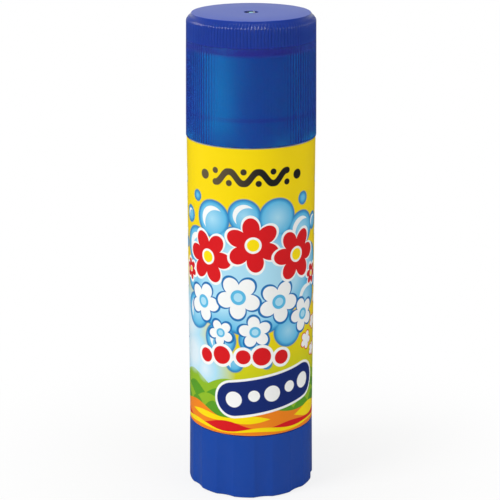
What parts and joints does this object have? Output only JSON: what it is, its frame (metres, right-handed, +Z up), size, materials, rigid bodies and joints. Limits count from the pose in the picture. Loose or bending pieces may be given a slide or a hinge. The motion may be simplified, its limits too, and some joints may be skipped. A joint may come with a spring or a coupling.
{
  "type": "glue stick",
  "caption": "Twist-up glue stick in a labelled barrel: turning the fluted knob at the foot drives a screw that lifts the glue, and a finely ribbed cap pulls off the neck.",
  "frame": {"origin": "middle of the flat ring under the knob, on which the stick stands", "axes": "+Z up the stick's axis to the cap, -Y towards the viewer of the picture, label seam at +Y"},
  "size_m": [0.026, 0.026, 0.0978],
  "materials": {
    "cap_plastic": "semi-translucent blue polypropylene with fine vertical ribs, matt top",
    "knob_plastic": "smooth satin blue polypropylene",
    "barrel_plastic": "satin white polypropylene",
    "label_film": null,
    "screw_plastic": "natural white polypropylene",
    "carrier_plastic": "natural white polyethylene",
    "glue_solid": "waxy, slightly translucent white adhesive"
  },
  "bodies": {
    "barrel": {"barrel": "barrel_plastic", "label": "label_film"},
    "knob": {"knob": "knob_plastic", "screw": "screw_plastic"},
    "carrier": {"carrier": "carrier_plastic", "glue": "glue_solid"},
    "cap": {"cap": "cap_plastic"}
  },
  "joints": [
    {"name": "knob_turn", "type": "hinge", "parent": "barrel", "child": "knob", "pos_m": [0, 0, 0], "axis": [0, 0, 1], "range_deg": [0, 4320]},
    {"name": "carrier_rise", "type": "slide", "parent": "barrel", "child": "carrier", "axis": [0, 0, 1], "range_m": [0, 0.06]},
    {"name": "cap_lift", "type": "slide", "parent": "carrier", "child": "cap", "axis": [0, 0, 1], "range_m": [0, 0.04]}
  ],
  "couplings": [
    {"joint": "knob_turn", "follows": "carrier_rise", "rad_per_m": 1256.6}
  ]
}
